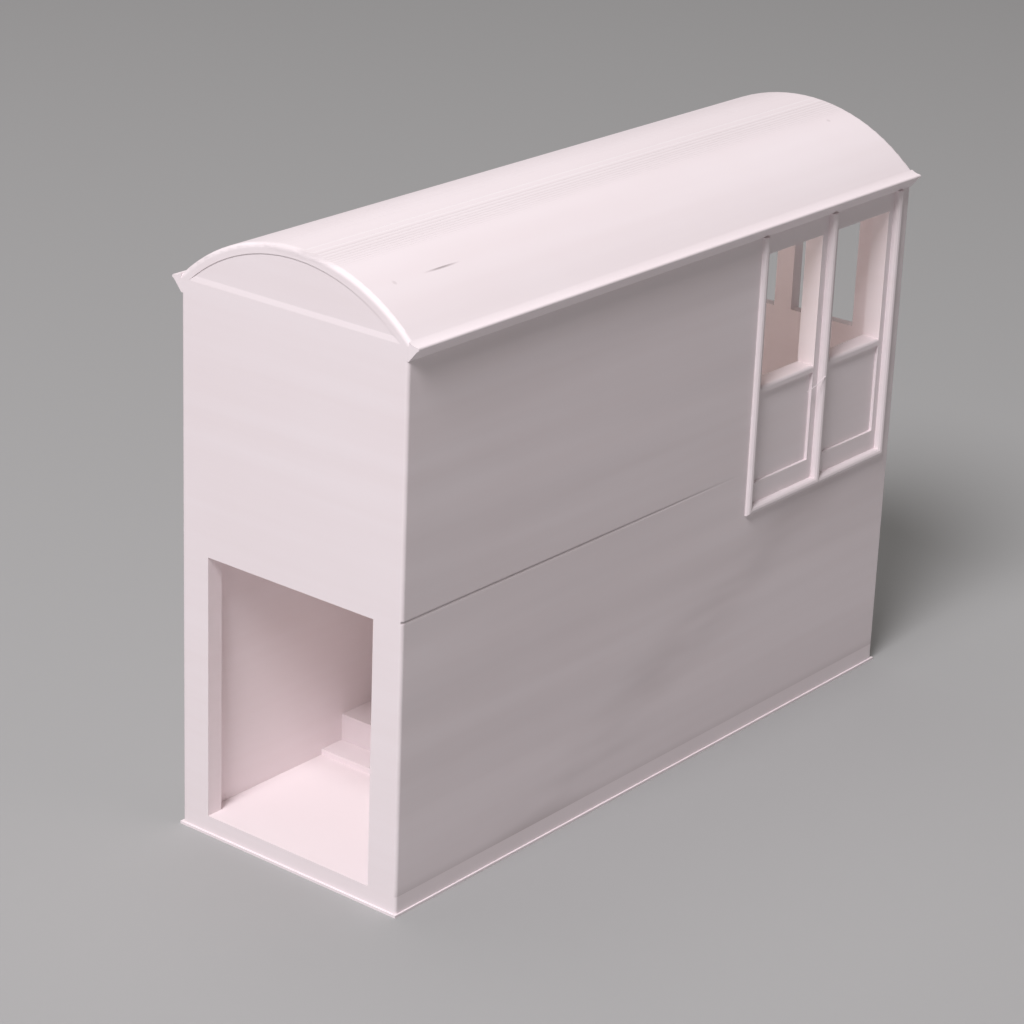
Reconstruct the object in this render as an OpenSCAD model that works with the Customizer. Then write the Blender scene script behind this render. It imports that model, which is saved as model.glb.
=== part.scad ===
// Model railway station building at 1:87: a street entrance in one gable, a flight of
// stairs inside, and double doors with open lights round the landing at the other end.
// X runs across the building, Y along it with the entrance at -Y, and Z up.
// The origin is the centre of the footprint, on the ground.

/* [Body] */
// Length from the entrance face to the back face
body_l = 88; // [80:0.5:110]
// Width across the side walls, without the eaves
body_w = 30.3; // [26:0.1:40]
// Height of the four walls
wall_top = 61.3; // [58:0.1:75]
// Thickness of the two side walls
side_t = 2.5; // [1.6:0.1:3.2]
// Thickness of the front and back walls
end_t = 2; // [1.4:0.1:3]
// Thickness of the ground floor slab
floor_t = 2.2; // [1.4:0.1:3]
// Radius of the upright outer corners
corner_r = 0.4; // [0.1:0.05:0.8]
// How far the foot spreads under the walls
foot_out = 0.2; // [0.1:0.05:0.4]
// Height of the foot
foot_h = 0.3; // [0.1:0.05:0.6]

/* [Roof] */
// Height of the arch from its foot to its crown
roof_rise = 6; // [4:0.1:9]
// Thickness of the arched shell
roof_t = 1.1; // [1:0.05:2]
// Radius of the shell's rounded ends
roof_end_r = 0.5; // [0.2:0.05:0.5]
// Height of the shell's upright edge, under the arch's foot
roof_edge_h = 0.5; // [0.3:0.1:1]
// How far the eaves stand out
eave_out = 1.26; // [0.6:0.02:2]
// Height of the eaves' tip
eave_tip_h = 0.4; // [0.2:0.05:0.6]
// How far the tip lies under the arch's foot
eave_fall = 0.35; // [0.1:0.05:0.6]
// Height of the slope under the eaves, down to the wall
eave_slope_h = 1.25; // [0.8:0.05:2]
// How far the gable ends lie behind the roof's edge
gable_recess = 0.1; // [0.1:0.05:0.8]
// Height of the sloping foot of the gable ends
gable_foot_h = 0.6; // [0.2:0.05:1]

/* [Entrance] */
// Width of the entrance
door_w = 22.76; // [16:0.1:24]
// Height of the entrance's head above the ground
door_top = 32; // [26:0.1:36]

/* [Hall and stairs] */
// Height of the hall's ceiling above the ground
ceiling_z = 32.6; // [32.4:0.1:37]
// Thickness of the hall's ceiling
ceiling_t = 1.6; // [1:0.1:2.5]
// How far the ceiling reaches in from the entrance face
ceiling_l = 31.7; // [20:0.1:34]
// Distance from the entrance face to the low first step
stair_start = 19.2; // [12:0.1:24]
// Height of the low first step above the floor
kerb_h = 0.67; // [0.4:0.01:1.2]
// Depth of the low first step
kerb_tread = 3.3; // [2.5:0.1:6]
// Depth of every other tread
tread = 6.3; // [5:0.1:7]
// Full risers between the low step and the landing
riser_count = 8; // [6:1:9]
// Thickness of the sloping slab under the steps
waist_t = 2; // [1.2:0.1:3]

/* [Bays] */
// Height of the lower bead's middle above the ground
bay_z = 27.8; // [24:0.1:32]
// Height of the window heads
head_z = 57.5; // [54:0.1:58]
// Width of the bay in each side wall, between the beads' middles
side_bay_w = 26.7; // [20:0.1:30]
// Wall left between a side bay and the back face
corner_post = 2.3; // [1.5:0.1:5]
// Width of the bay in the back wall, between the beads' middles
back_bay_w = 22.76; // [16:0.1:24]
// Width of the posts at both ends of a bay
stile_w = 1.4; // [1:0.1:2]
// Width of the middle post of a side bay
side_mullion_w = 3.1; // [1.6:0.1:4]
// Width of the middle post of the back bay
back_mullion_w = 2.4; // [1.6:0.1:4]
// Height of the rail under the door panels
bottom_rail_h = 2.9; // [1.5:0.1:4]
// Height of the window sills' top above the ground
sill_z = 42.1; // [38:0.1:46]
// Height of the rounded sill bar
sill_h = 0.8; // [0.6:0.1:1.5]
// Radius of the sill's nose
sill_r = 0.35; // [0.1:0.05:0.4]
// How far the doors lie behind the wall's face
leaf_recess = 0.3; // [0.2:0.05:0.6]
// How far the panels lie behind the doors' face
panel_recess = 0.35; // [0.2:0.05:0.8]
// Radius of the half-round bead round a bay and on its middle post
bead_r = 0.5; // [0.3:0.05:0.7]

/* [Hidden] */
$fn = 96;

inner_w = body_w - 2 * side_t;
arch_foot_z = wall_top + roof_edge_h;
arch_r = (pow(body_w / 2, 2) + pow(roof_rise, 2)) / (2 * roof_rise);
arch_centre_z = arch_foot_z + roof_rise - arch_r;
eave_foot_z = arch_foot_z - eave_fall - eave_tip_h - eave_slope_h;
side_bay_at = body_l / 2 - corner_post - side_bay_w / 2;

// Steps are numbered from the low one. foot_y(n) is a riser's place, and top_z(n) its tread.
landing_z = bay_z + bead_r;
riser = (landing_z - floor_t - kerb_h) / riser_count;
function foot_y(n) = -body_l / 2 + stair_start
    + (n > 1 ? kerb_tread + (n - 2) * tread : 0);
function top_z(n) = floor_t + kerb_h + (n - 1) * riser;
landing_y = foot_y(riser_count + 1);
waist_bearing = 2;

bead_sides = 12;
eave_facets = 8;

masonry = "#e7dfe3";
trim = "#efe8ea";
inside = "#d8d1cd";
cut = 1;

// Each of these stands a drawing up on a wall's face: x along the wall, y up, z outward.
module on_front() translate([0, -body_l / 2, 0]) rotate([90, 0, 0]) children();
module on_back() translate([0, body_l / 2, 0]) rotate([90, 0, 180]) children();
module on_right() translate([body_w / 2, 0, 0]) rotate([90, 0, 90]) children();
module on_left() mirror([1, 0, 0]) on_right() children();

// A box on a wall's face, from depth `back` behind the face to `front` before it.
module panel(x0, x1, y0, y1, back, front = 0)
    translate([x0, y0, -back]) cube([x1 - x0, y1 - y0, back + front]);

// Draws a profile given as (up, outward) points, and runs it along the wall.
module run_along(x0, x1)
    translate([x0, 0, 0]) rotate([90, 0, 90]) linear_extrude(x1 - x0) children();

// Draws a profile given as (along, outward) points, and runs it up the wall.
module run_up(y0, y1)
    translate([0, y1, 0]) rotate([90, 0, 0]) linear_extrude(y1 - y0) children();

// A profile of (y, z) points, run across the building between the side walls.
module across() translate([-inner_w / 2, 0, 0]) rotate([90, 0, 90]) linear_extrude(inner_w) children();

// A rectangle centred on the origin, with round corners.
module round_rect(w, l) {
    square([w - 2 * corner_r, l], center = true);
    square([w, l - 2 * corner_r], center = true);
    for (x = [-1, 1], y = [-1, 1])
        translate([x * (w / 2 - corner_r), y * (l / 2 - corner_r)]) circle(corner_r);
}

module ground_floor()
    color(masonry) union() {
        linear_extrude(floor_t) round_rect(body_w, body_l);
        translate([-body_w / 2 - foot_out, -body_l / 2 - foot_out, 0])
            cube([body_w + 2 * foot_out, body_l + 2 * foot_out, foot_h]);
    }

module front_wall()
    color(masonry) on_front() difference() {
        panel(-inner_w / 2, inner_w / 2, floor_t, wall_top, end_t);
        panel(-door_w / 2, door_w / 2, floor_t - cut, door_top, end_t + cut, cut);
    }

module back_wall()
    color(masonry) on_back() difference() {
        panel(-inner_w / 2, inner_w / 2, floor_t, wall_top, end_t);
        panel(-back_bay_w / 2, back_bay_w / 2, bay_z, eave_foot_z, end_t + cut, cut);
    }

module side_wall()
    difference() {
        union() {
            run_up(floor_t, eave_foot_z) intersection() {
                translate([0, -body_w / 2]) round_rect(body_l, body_w);
                translate([-body_l / 2, -side_t]) square([body_l, side_t]);
            }
            panel(-body_l / 2, body_l / 2, eave_foot_z, wall_top, side_t);
        }
        panel(side_bay_at - side_bay_w / 2, side_bay_at + side_bay_w / 2,
            bay_z, eave_foot_z, side_t + cut, cut);
    }

// The end of the building under the arch, behind the roof's edge. Its foot slopes out to
// the wall's face.
module gable_end()
    intersection() {
        translate([0, arch_centre_z, -end_t - cut])
            linear_extrude(end_t + 2 * cut) circle(arch_r - roof_t);
        run_along(-body_w / 2, body_w / 2) polygon([
            [wall_top, -end_t], [wall_top, 0], [wall_top + gable_foot_h, -gable_recess],
            [arch_foot_z + roof_rise, -gable_recess], [arch_foot_z + roof_rise, -end_t]]);
    }

// The shell is a slice of a ring, with its outer edge rounded at both ends.
module roof_shell()
    color(trim) intersection() {
        translate([0, 0, arch_centre_z]) rotate([90, 0, 0]) rotate_extrude() roof_section();
        translate([-body_w / 2, -body_l, wall_top])
            cube([body_w, 2 * body_l, roof_rise + roof_edge_h + cut]);
    }

module roof_section()
    translate([arch_r - roof_t, -body_l / 2]) union() {
        square([roof_t - roof_end_r, body_l]);
        translate([0, roof_end_r]) square([roof_t, body_l - 2 * roof_end_r]);
        for (y = [roof_end_r, body_l - roof_end_r])
            translate([roof_t - roof_end_r, y]) circle(roof_end_r);
    }

// The eave slopes out to a round tip, and its top flares out of the arch in a hollow curve.
module eave() {
    tip_r = eave_tip_h / 2;
    tip_z = eave_foot_z + eave_slope_h;
    flare = eave_out - tip_r;
    run_along(-body_l / 2, body_l / 2) polygon(concat(
        [[eave_foot_z, 0]],
        [for (n = [0:eave_facets]) let (a = 180 * n / eave_facets - 90)
            [tip_z + tip_r * (1 + sin(a)), flare + tip_r * cos(a)]],
        [for (n = [1:eave_facets]) let (t = n / eave_facets)
            [tip_z + eave_tip_h + eave_fall * t * t, (1 - t) * flare]]));
}

module hall_ceiling()
    color(inside) across() translate([-body_l / 2 + end_t, ceiling_z])
        square([ceiling_l - end_t, ceiling_t]);

module landing()
    color(inside) across() translate([landing_y, landing_z - riser])
        square([body_l / 2 - end_t - landing_y, riser]);

// The sloping slab starts on the floor and ends in a bearing under the landing.
module stair_waist() {
    slope = riser / tread;
    drop = waist_t * sqrt(1 + slope * slope);
    soffit_end_z = top_z(riser_count) - drop;
    color(inside) across() polygon([
        [foot_y(2), floor_t],
        [foot_y(2), top_z(1)],
        [landing_y, top_z(riser_count)],
        [landing_y + waist_bearing, top_z(riser_count)],
        [landing_y + waist_bearing, soffit_end_z],
        [landing_y, soffit_end_z],
        [landing_y - (soffit_end_z - floor_t) / slope, floor_t]]);
}

// The low first step is a block, and the others are wedges on the sloping slab.
module stair_step(n)
    color(inside) across() polygon(n == 1
        ? [[foot_y(1), floor_t], [foot_y(2), floor_t], [foot_y(2), top_z(1)], [foot_y(1), top_z(1)]]
        : [[foot_y(n), top_z(n - 1)], [foot_y(n + 1), top_z(n)], [foot_y(n), top_z(n)]]);

// A bead's (inward, outward) profile. It straddles the wall's cut edge, at 0, and its
// inner half reaches back to the doors.
module edge_bead_profile()
    difference() {
        union() {
            circle(bead_r, $fn = bead_sides);
            translate([0, -leaf_recess]) square([bead_r, leaf_recess]);
        }
        translate([-bead_r - cut, -bead_r - cut]) square([bead_r + cut, bead_r + cut]);
        translate([-cut, -leaf_recess - bead_r]) square([bead_r + 2 * cut, bead_r]);
    }

// The middle post's bead stands on the doors, and is as proud of the wall.
module middle_bead_profile()
    difference() {
        union() {
            circle(bead_r, $fn = bead_sides);
            translate([-bead_r, -leaf_recess]) square([2 * bead_r, leaf_recess]);
        }
        translate([-bead_r - cut, -leaf_recess - bead_r]) square([2 * bead_r + 2 * cut, bead_r]);
    }

// Cuts a bead's ends to the mitre whose outline is given on the wall's face.
module mitred(outline)
    intersection() {
        children();
        translate([0, 0, -leaf_recess - cut])
            linear_extrude(leaf_recess + bead_r + 2 * cut) polygon(outline);
    }

// The pieces of a bay, drawn about its middle: w is its width, m its middle post's
// width and t the thickness of its wall. A bay is closed by a bead at its head, or
// left open to the eaves.
module bay_surround(w, closed) {
    x = w / 2;
    d = 2 * bead_r;
    head = closed ? d : 0;
    top = closed ? eave_foot_z + bead_r : eave_foot_z;
    mitred([[-x - d, bay_z - d], [x + d, bay_z - d], [x - d, bay_z + d], [-x + d, bay_z + d]])
        run_along(-x - bead_r, x + bead_r) translate([bay_z, 0]) edge_bead_profile();
    for (side = [0, 1]) mirror([side, 0, 0])
        mitred([[-x - d, bay_z - d], [-x + d, bay_z + d],
            [-x + d, eave_foot_z - head], [-x - d, eave_foot_z + head]])
            run_up(bay_z - bead_r, top) translate([-x, 0]) edge_bead_profile();
    if (closed)
        mitred([[-x - d, eave_foot_z + d], [-x + d, eave_foot_z - d],
            [x - d, eave_foot_z - d], [x + d, eave_foot_z + d]])
            run_along(-x - bead_r, x + bead_r)
                translate([eave_foot_z, 0]) mirror([1, 0]) edge_bead_profile();
}

module bay_head_rail(w, t)
    difference() {
        panel(-w / 2, w / 2, head_z, eave_foot_z, t);
        panel(-w / 2 - cut, w / 2 + cut, head_z - cut, eave_foot_z + cut, leaf_recess, cut);
    }

module bay_bottom_rail(w, t)
    translate([0, 0, -leaf_recess]) panel(-w / 2, w / 2, bay_z, bay_z + bottom_rail_h, t - leaf_recess);

module bay_stiles(w, t)
    for (end = [-1, 1])
        translate([end * (w - stile_w) / 2, 0, -leaf_recess])
            panel(-stile_w / 2, stile_w / 2, bay_z + bottom_rail_h, head_z, t - leaf_recess);

module bay_mullion(w, m, t, closed)
    union() {
        difference() {
            run_up(bay_z, eave_foot_z) middle_bead_profile();
            bay_surround(w, closed);
        }
        translate([0, 0, -leaf_recess])
            panel(-m / 2, m / 2, bay_z + bottom_rail_h, head_z, t - leaf_recess);
    }

// Puts children in both lights of a bay, and draws them from 0 to the light's width.
module in_both_lights(w, m)
    for (x = [-w / 2 + stile_w, m / 2]) translate([x, 0, 0]) children();
function light_w(w, m) = (w - m) / 2 - stile_w;

module bay_sills(w, m, t)
    in_both_lights(w, m) run_along(0, light_w(w, m)) sill_profile(t - leaf_recess);

module sill_profile(depth)
    translate([sill_z - sill_h, -leaf_recess - depth]) union() {
        square([sill_h - sill_r, depth]);
        square([sill_h, depth - sill_r]);
        translate([sill_h - sill_r, depth - sill_r]) circle(sill_r);
    }

module bay_panels(w, m, t)
    in_both_lights(w, m) translate([0, 0, -leaf_recess - panel_recess])
        panel(0, light_w(w, m), bay_z + bottom_rail_h, sill_z - sill_h,
            t - leaf_recess - panel_recess);

module bay_piece(piece, w, m, t, closed) {
    if (piece == "surround") bay_surround(w, closed);
    if (piece == "head_rail") bay_head_rail(w, t);
    if (piece == "bottom_rail") bay_bottom_rail(w, t);
    if (piece == "stiles") bay_stiles(w, t);
    if (piece == "mullion") bay_mullion(w, m, t, closed);
    if (piece == "sills") bay_sills(w, m, t);
    if (piece == "panels") bay_panels(w, m, t);
}

module side_bay_piece(piece)
    color(trim) translate([side_bay_at, 0, 0])
        bay_piece(piece, side_bay_w, side_mullion_w, side_t, closed = false);

module back_bay_piece(piece)
    color(trim) bay_piece(piece, back_bay_w, back_mullion_w, end_t, closed = true);

ground_floor();
front_wall();
back_wall();
color(masonry) on_left() side_wall();  // left_wall
color(masonry) on_right() side_wall();  // right_wall
color(masonry) on_front() gable_end();  // front_gable
color(masonry) on_back() gable_end();  // back_gable
roof_shell();
color(trim) on_left() eave();  // left_eave
color(trim) on_right() eave();  // right_eave
hall_ceiling();
landing();
stair_waist();
for (n = [1:riser_count])
    stair_step(n);
for (piece = ["surround", "head_rail", "bottom_rail", "stiles", "mullion", "sills", "panels"]) {
    on_left() side_bay_piece(piece);
    on_right() side_bay_piece(piece);
    on_back() back_bay_piece(piece);
}
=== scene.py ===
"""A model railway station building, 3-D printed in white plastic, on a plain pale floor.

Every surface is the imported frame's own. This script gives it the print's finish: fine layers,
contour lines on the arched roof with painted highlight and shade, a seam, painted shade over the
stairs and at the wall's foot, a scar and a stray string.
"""
import math

import bmesh
import bpy
from mathutils import Euler, Matrix, Vector


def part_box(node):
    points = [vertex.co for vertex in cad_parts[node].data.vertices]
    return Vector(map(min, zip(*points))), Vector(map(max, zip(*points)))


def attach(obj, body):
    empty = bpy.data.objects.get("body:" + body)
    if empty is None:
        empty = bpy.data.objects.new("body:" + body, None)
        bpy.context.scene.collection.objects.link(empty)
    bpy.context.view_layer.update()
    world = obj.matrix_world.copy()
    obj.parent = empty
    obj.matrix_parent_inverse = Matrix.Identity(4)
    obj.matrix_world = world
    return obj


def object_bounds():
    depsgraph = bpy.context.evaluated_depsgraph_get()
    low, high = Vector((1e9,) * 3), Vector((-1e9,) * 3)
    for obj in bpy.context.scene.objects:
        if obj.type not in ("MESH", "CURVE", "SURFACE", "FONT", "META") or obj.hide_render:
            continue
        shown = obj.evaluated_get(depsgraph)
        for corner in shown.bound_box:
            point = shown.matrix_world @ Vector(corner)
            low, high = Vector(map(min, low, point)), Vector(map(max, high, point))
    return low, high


MM = 0.001

# The camera looks down on the entrance and the right-hand wall.
CAMERA_AT = Vector((199.0, -258.1, 156.9)) * MM
CAMERA_PITCH = 21.66
CAMERA_HEADING = 38.55
CAMERA_ROLL = 2.19
CAMERA_LENS = 110.4

# sRGB colours: the plastic's light and dark streaks; a dark one for its marks and for painted
# shade; a light one for the painted highlight on the terraces' edges; the floor
PLASTIC = (0.955, 0.915, 0.927)
PLASTIC_DEEP = (0.945, 0.900, 0.910)
SMUDGE_AND_SHADE = (0.63, 0.57, 0.57)
TERRACE_EDGE_HIGHLIGHT = (0.985, 0.96, 0.965)
FLOOR = (0.66, 0.66, 0.66)
FLOOR_SIZE = 3.0

# The print's layers, how far under the crown the last one ends, and how far down they show
LAYER = 0.08 * MM
TOP_LAYER = 0.036 * MM
TERRACES_FADE = (0.28 * MM, 0.9 * MM)

# Marks on the roof's right-hand slope: how far out from the ridge, and how far from the
# entrance. The scar is a narrow groove along the roof.
SCAR_OUT, SCAR_RUN = 9.7 * MM, 11.1 * MM
SCAR_HALF_WIDTH, SCAR_HALF_LENGTH, SCAR_DEPTH = 0.16 * MM, 3.2 * MM, 0.1 * MM
SPOTS = [(9.7 * MM, 4.0 * MM), (6.5 * MM, 83.0 * MM)]
SPOT_FADE = (0.1 * MM, 0.35 * MM)

# The seam on the right-hand wall, and where it fades, from the entrance
SEAM_HALF_WIDTH, SEAM_DEPTH = 0.22 * MM, 0.12 * MM
SEAM_FADE = (28 * MM, 60 * MM)

# The band of painted shade along the stairs behind the right-hand wall: how far its middle lies
# under the treads, and its reach
BAND_UNDER, BAND_REACH = 4 * MM, 7 * MM

# The stray string's thickness, and its points: how far out from the post, and along and up
# from the post's middle at the sill
STRING_RADIUS = 0.05 * MM
STRING_POINTS = [(-0.35, -3.2, -1.9), (-0.1, -1.4, -1.3), (0.06, -0.2, -0.6)]

# The room's lights: each one's name, its place and size in metres, its power and its colour
ROOM_LIGHTS = [
    ("window", (0.19, -0.76, 0.98), 0.5, 13.9, (1.0, 0.975, 1.0)),
    ("ceiling", (-0.25, 0.05, 1.1), 0.8, 2.5, (1.0, 0.98, 0.98)),
]
ROOM_COLOUR, ROOM_STRENGTH = (1.0, 0.96, 0.91, 1.0), 0.17

# Dim warm lights inside, for the light that thin white plastic lets through: each one's name,
# its place and its size in mm, the way it faces, and its power
GLOW_COLOUR = (1.0, 0.93, 0.82)
GLOWS = [
    ("hall_glow", (11.8, -30.0, 18.0), 16, (-1, 0, 0), 0.0006),
    ("landing_glow", (11.8, 10.0, 46.0), 14, (-1, 0, 0), 0.0016),
    ("landing_end_glow", (0.0, 8.0, 50.0), 14, (0, 1, 0), 0.0012),
]

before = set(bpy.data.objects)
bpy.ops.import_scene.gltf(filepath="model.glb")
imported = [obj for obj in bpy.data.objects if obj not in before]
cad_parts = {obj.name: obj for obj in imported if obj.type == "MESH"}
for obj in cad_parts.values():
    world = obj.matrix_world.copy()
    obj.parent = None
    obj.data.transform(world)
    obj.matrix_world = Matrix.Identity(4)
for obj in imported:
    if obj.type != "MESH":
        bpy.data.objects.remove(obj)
cad_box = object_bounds()
LOW, HIGH = (Vector(corner) for corner in cad_box)
WALL_LOW, WALL_HIGH = (Vector(corner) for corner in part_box("right_wall"))
STEP_LOW, STEP_HIGH = (Vector(corner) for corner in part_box("stair_step_2"))
LANDING_LOW, LANDING_HIGH = (Vector(corner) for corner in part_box("landing"))
HALL_CEILING_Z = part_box("hall_ceiling")[0][2]
FLOOR_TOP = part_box("ground_floor")[1][2]
ROOF_TOP = HIGH.z


def linear(srgb):
    """A colour in Blender's linear space, from its sRGB values."""
    channels = (c / 12.92 if c < 0.04045 else ((c + 0.055) / 1.055) ** 2.4 for c in srgb)
    return tuple(channels) + (1.0,)


def in_scene(name, data):
    """A new object of the given data, linked into the scene."""
    obj = bpy.data.objects.new(name, data)
    bpy.context.scene.collection.objects.link(obj)
    return obj


class Nodes:
    """A small helper that writes a material's node tree as nested calls."""

    def __init__(self, name):
        self.material = bpy.data.materials.new(name)
        self.material.use_nodes = True
        self.tree = self.material.node_tree
        self.shader = self.tree.nodes["Principled BSDF"]
        self.place = self.add("ShaderNodeTexCoord").outputs["Object"]

    def add(self, kind, **settings):
        node = self.tree.nodes.new(kind)
        for key, value in settings.items():
            setattr(node, key, value)
        return node

    def feed(self, socket, value):
        if isinstance(value, bpy.types.NodeSocket):
            self.tree.links.new(value, socket)
        else:
            socket.default_value = value

    def math(self, operation, a, b=0.0, c=0.0, clamp=False):
        node = self.add("ShaderNodeMath", operation=operation, use_clamp=clamp)
        for socket, value in zip(node.inputs, (a, b, c)):
            self.feed(socket, value)
        return node.outputs[0]

    def product(self, first, *others):
        for other in others:
            first = self.math("MULTIPLY", first, other)
        return first

    def axes(self):
        node = self.add("ShaderNodeSeparateXYZ")
        self.feed(node.inputs[0], self.place)
        return node.outputs

    def noise(self, scale, detail=3.0, roughness=0.5, stretch=(1, 1, 1)):
        """Smooth noise from 0 to 1, with so many blobs a metre along each stretched axis."""
        mapping = self.add("ShaderNodeMapping")
        self.feed(mapping.inputs["Vector"], self.place)
        mapping.inputs["Scale"].default_value = stretch
        node = self.add("ShaderNodeTexNoise")
        self.feed(node.inputs["Vector"], mapping.outputs[0])
        node.inputs["Scale"].default_value = scale
        node.inputs["Detail"].default_value = detail
        node.inputs["Roughness"].default_value = roughness
        return node.outputs[0]

    def smooth(self, value, start, end, low=0.0, high=1.0):
        """Rises smoothly from low to high as value goes from start to end."""
        node = self.add("ShaderNodeMapRange", interpolation_type="SMOOTHSTEP")
        numbers = {"From Min": start, "From Max": end, "To Min": low, "To Max": high}
        for name, number in numbers.items():
            node.inputs[name].default_value = number
        self.feed(node.inputs["Value"], value)
        return node.outputs[0]

    def line(self, value, at, width):
        """1 where value is at the given place, and 0 further than width from it."""
        off = self.math("ABSOLUTE", self.math("SUBTRACT", value, at))
        return self.smooth(off, 0.0, width, 1.0, 0.0)

    def mix(self, amount, a, b):
        node = self.add("ShaderNodeMix", data_type="RGBA")
        self.feed(node.inputs["Factor"], amount)
        self.feed(node.inputs["A"], a)
        self.feed(node.inputs["B"], b)
        return node.outputs["Result"]

    def tint(self, amount, srgb):
        """Blends the colour so far towards another one."""
        self.colour = self.mix(amount, self.colour, linear(srgb))

    def bump(self, height, distance, strength=1.0, before=None):
        node = self.add("ShaderNodeBump")
        node.inputs["Strength"].default_value = strength
        node.inputs["Distance"].default_value = distance
        self.feed(node.inputs["Height"], height)
        if before:
            self.feed(node.inputs["Normal"], before)
        return node.outputs[0]


def layered_plastic(name):
    """White matt print, with faint streaks along its layers."""
    nodes = Nodes(name)
    streaks = nodes.noise(1.0, 2.0, 0.55, stretch=(14, 14, 650))
    blotches = nodes.noise(60.0, 3.0)
    tone = nodes.math("ADD", nodes.product(streaks, 0.55), nodes.product(blotches, 0.45))
    tone = nodes.smooth(tone, 0.25, 0.75)
    nodes.colour = nodes.mix(tone, linear(PLASTIC_DEEP), linear(PLASTIC))
    grain = nodes.noise(2600.0, 2.0, 0.6, stretch=(0.5, 0.5, 1.6))
    nodes.normal = nodes.bump(streaks, 0.02 * MM, 0.3, nodes.bump(grain, 0.01 * MM, 0.4))
    nodes.feed(nodes.shader.inputs["Roughness"], nodes.smooth(streaks, 0.3, 0.7, 0.5, 0.62))
    nodes.shader.inputs["IOR"].default_value = 1.46
    nodes.shader.inputs["Specular IOR Level"].default_value = 0.35
    return nodes


def finish_material(nodes):
    nodes.feed(nodes.shader.inputs["Base Color"], nodes.colour)
    nodes.feed(nodes.shader.inputs["Normal"], nodes.normal)
    return nodes.material


def roof_material():
    """The arch is printed as terraces, so contour lines run along it, widest apart at the crown.
    Each terrace gets a painted highlight at its edge and painted shade on its flat.
    """
    nodes = layered_plastic("printed_roof")
    x, y, z = nodes.axes()
    fall = nodes.math("SUBTRACT", ROOF_TOP - TOP_LAYER, z)
    step = nodes.math("DIVIDE", fall, LAYER)
    terrace = nodes.math("FRACT", step)
    shown = nodes.product(nodes.smooth(fall, *TERRACES_FADE, 1.0, 0.0),
                          nodes.smooth(x, 0.0, 1.5 * MM, 0.35, 1.0))
    nodes.normal = nodes.bump(nodes.product(terrace, shown), LAYER, 1.0, nodes.normal)
    # Painted highlight along each terrace's edge and painted shade on the rest of it, on top of the
    # bump.
    riser_highlight = nodes.smooth(terrace, 0.0, 0.3, 1.0, 0.0)
    tread_shade = nodes.product(nodes.smooth(terrace, 0.2, 0.9), nodes.smooth(step, 0.9, 1.1))
    nodes.tint(nodes.product(tread_shade, shown, 0.12), SMUDGE_AND_SHADE)
    nodes.tint(nodes.product(riser_highlight, shown, 0.7), TERRACE_EDGE_HIGHLIGHT)

    run = nodes.math("SUBTRACT", y, WALL_LOW.y)
    scar = nodes.product(nodes.line(x, SCAR_OUT, SCAR_HALF_WIDTH),
                         nodes.line(run, SCAR_RUN, SCAR_HALF_LENGTH))
    nodes.normal = nodes.bump(scar, -SCAR_DEPTH, 1.0, nodes.normal)
    marks = nodes.product(scar, 0.6)
    for out, along in SPOTS:
        across = nodes.math("POWER", nodes.math("SUBTRACT", x, out), 2.0)
        length = nodes.math("POWER", nodes.math("SUBTRACT", run, along), 2.0)
        far = nodes.math("SQRT", nodes.math("ADD", across, length))
        marks = nodes.math("MAXIMUM", marks, nodes.smooth(far, *SPOT_FADE, 0.22, 0.0))
    nodes.tint(marks, SMUDGE_AND_SHADE)
    return finish_material(nodes)


def wall_material():
    """The right-hand wall, with a seam at the hall's ceiling, and painted shade along the line of
    the stairs behind it and at its foot.
    """
    nodes = layered_plastic("printed_right_wall")
    x, y, z = nodes.axes()
    outside = nodes.smooth(x, WALL_HIGH.x - 0.3 * MM, WALL_HIGH.x - 0.1 * MM)

    pitch = (LANDING_HIGH.z - STEP_HIGH.z) / (LANDING_LOW.y - STEP_LOW.y)
    along_stairs = nodes.math("SUBTRACT", y, STEP_LOW.y)
    stairs = nodes.math("MULTIPLY_ADD", along_stairs, pitch, STEP_HIGH.z - BAND_UNDER)
    # Painted shade in a band along the stairs' pitch, broken up into patches below.
    band = nodes.line(nodes.math("SUBTRACT", z, stairs), 0.0, BAND_REACH)
    patches = nodes.smooth(nodes.noise(1.0, 2.0, 0.5, stretch=(30, 38, 190)), 0.36, 0.72)
    bands = nodes.smooth(nodes.noise(1.0, 2.0, 0.5, stretch=(6, 9, 150)), 0.3, 0.7, 0.0, 0.12)
    # Painted shade at the wall's foot, fading upwards from the floor.
    foot = nodes.smooth(z, FLOOR_TOP * 0.8, FLOOR_TOP * 1.5, 0.22, 0.0)
    dark = nodes.math("ADD", nodes.math("ADD", nodes.product(band, patches, 0.22), bands), foot)
    nodes.tint(nodes.product(dark, outside), SMUDGE_AND_SHADE)

    run = nodes.math("SUBTRACT", y, WALL_LOW.y)
    seam = nodes.product(nodes.line(z, HALL_CEILING_Z, SEAM_HALF_WIDTH),
                         nodes.smooth(run, *SEAM_FADE, 1.0, 0.0), outside)
    nodes.tint(nodes.product(seam, 0.5), SMUDGE_AND_SHADE)
    nodes.normal = nodes.bump(seam, -SEAM_DEPTH, 1.0, nodes.normal)
    return finish_material(nodes)


plain = finish_material(layered_plastic("printed_plastic"))
special = {"roof_shell": roof_material(), "right_wall": wall_material()}
for name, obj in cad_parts.items():
    obj.data.materials.clear()
    obj.data.materials.append(special.get(name, plain))


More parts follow.
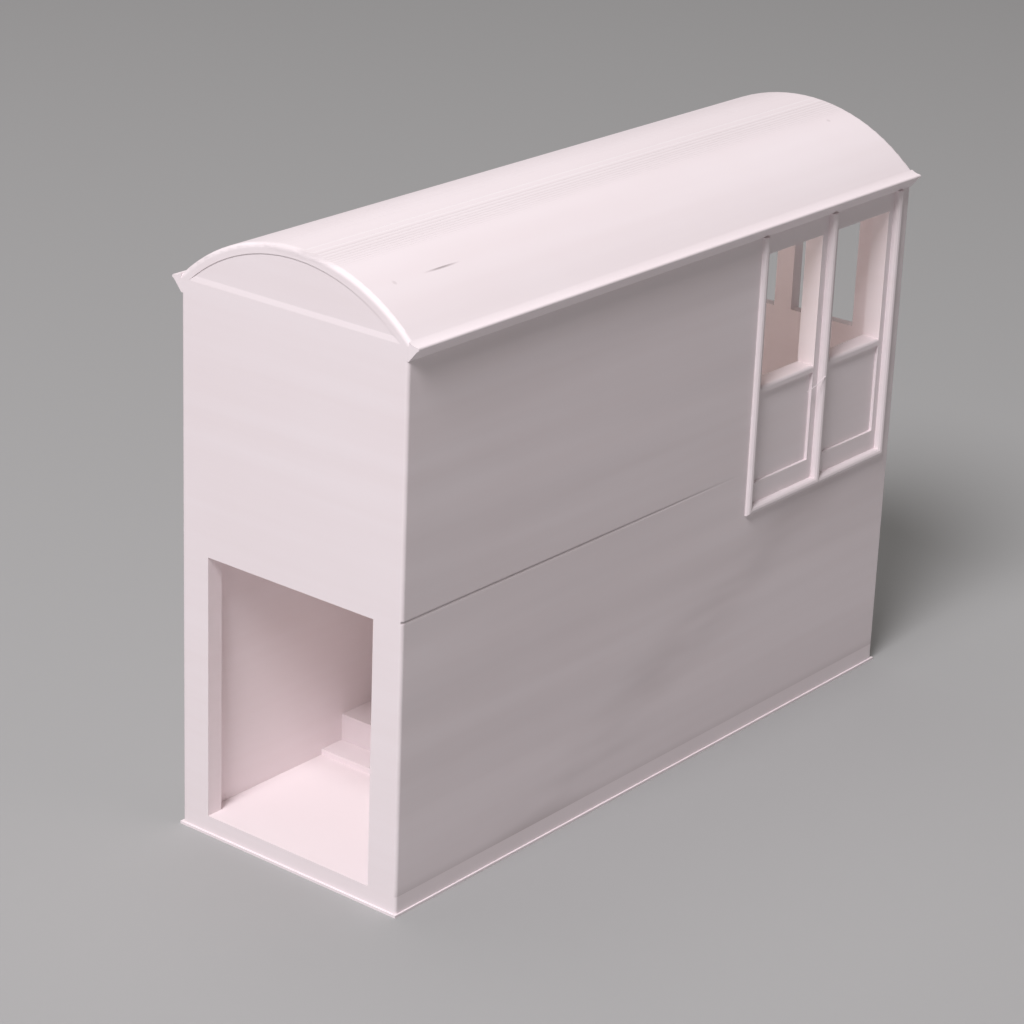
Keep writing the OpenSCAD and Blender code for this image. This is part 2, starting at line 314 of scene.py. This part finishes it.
def string_of_plastic():
    """A hair of plastic that the nozzle left across the right-hand bay's middle post."""
    post_low, post_high = (Vector(corner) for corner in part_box("right_bay_mullion"))
    middle = (post_low.y + post_high.y) / 2
    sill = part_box("right_bay_sills")[0][2]
    curve = bpy.data.curves.new("stray_string", "CURVE")
    curve.dimensions = "3D"
    curve.bevel_depth = STRING_RADIUS
    curve.bevel_resolution = 2
    spline = curve.splines.new("BEZIER")
    spline.bezier_points.add(len(STRING_POINTS) - 1)
    for knot, (out, along, up) in zip(spline.bezier_points, STRING_POINTS):
        knot.co = (post_high.x + out * MM, middle + along * MM, sill + up * MM)
        knot.handle_left_type = knot.handle_right_type = "AUTO"
    obj = in_scene("stray_string", curve)
    obj.data.materials.append(plain)
    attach(obj, "root")


string_of_plastic()


def floor():
    nodes = Nodes("pale_floor")
    nodes.shader.inputs["Roughness"].default_value = 0.8
    nodes.shader.inputs["Base Color"].default_value = linear(FLOOR)
    mesh = bpy.data.meshes.new("floor")
    shape = bmesh.new()
    bmesh.ops.create_grid(shape, x_segments=1, y_segments=1, size=FLOOR_SIZE)
    shape.to_mesh(mesh)
    shape.free()
    obj = in_scene("floor", mesh)
    obj.location.z = LOW.z
    mesh.materials.append(nodes.material)


def area_light(name, at, facing, size, power, colour, shape):
    data = bpy.data.lights.new(name, "AREA")
    data.shape = shape
    data.size = size
    data.energy = power
    data.color = colour
    obj = in_scene(name, data)
    obj.location = at
    obj.rotation_euler = Vector(facing).to_track_quat("-Z", "Y").to_euler()
    return obj


floor()
middle = Vector((0.0, 0.0, HIGH.z / 2))
for name, at, size, power, colour in ROOM_LIGHTS:
    area_light(name, at, middle - Vector(at), size, power, colour, "DISK")
for name, at, size, facing, power in GLOWS:
    glow = area_light(name, Vector(at) * MM, facing, size * MM, power, GLOW_COLOUR, "SQUARE")
    glow.visible_camera = False
world = bpy.data.worlds.new("room")
bpy.context.scene.world = world
world.use_nodes = True
world.node_tree.nodes["Background"].inputs["Color"].default_value = ROOM_COLOUR
world.node_tree.nodes["Background"].inputs["Strength"].default_value = ROOM_STRENGTH

camera_data = bpy.data.cameras.new("camera")
camera_data.lens = CAMERA_LENS
camera_data.sensor_width = 36.0
camera_data.clip_start = 0.01
camera = in_scene("camera", camera_data)
camera.location = CAMERA_AT
aim = Euler((math.radians(90 - CAMERA_PITCH), 0, math.radians(CAMERA_HEADING))).to_matrix()
camera.rotation_euler = (aim @ Matrix.Rotation(math.radians(CAMERA_ROLL), 3, "Z")).to_euler()
bpy.context.scene.camera = camera
bpy.context.scene.view_settings.view_transform = "Standard"
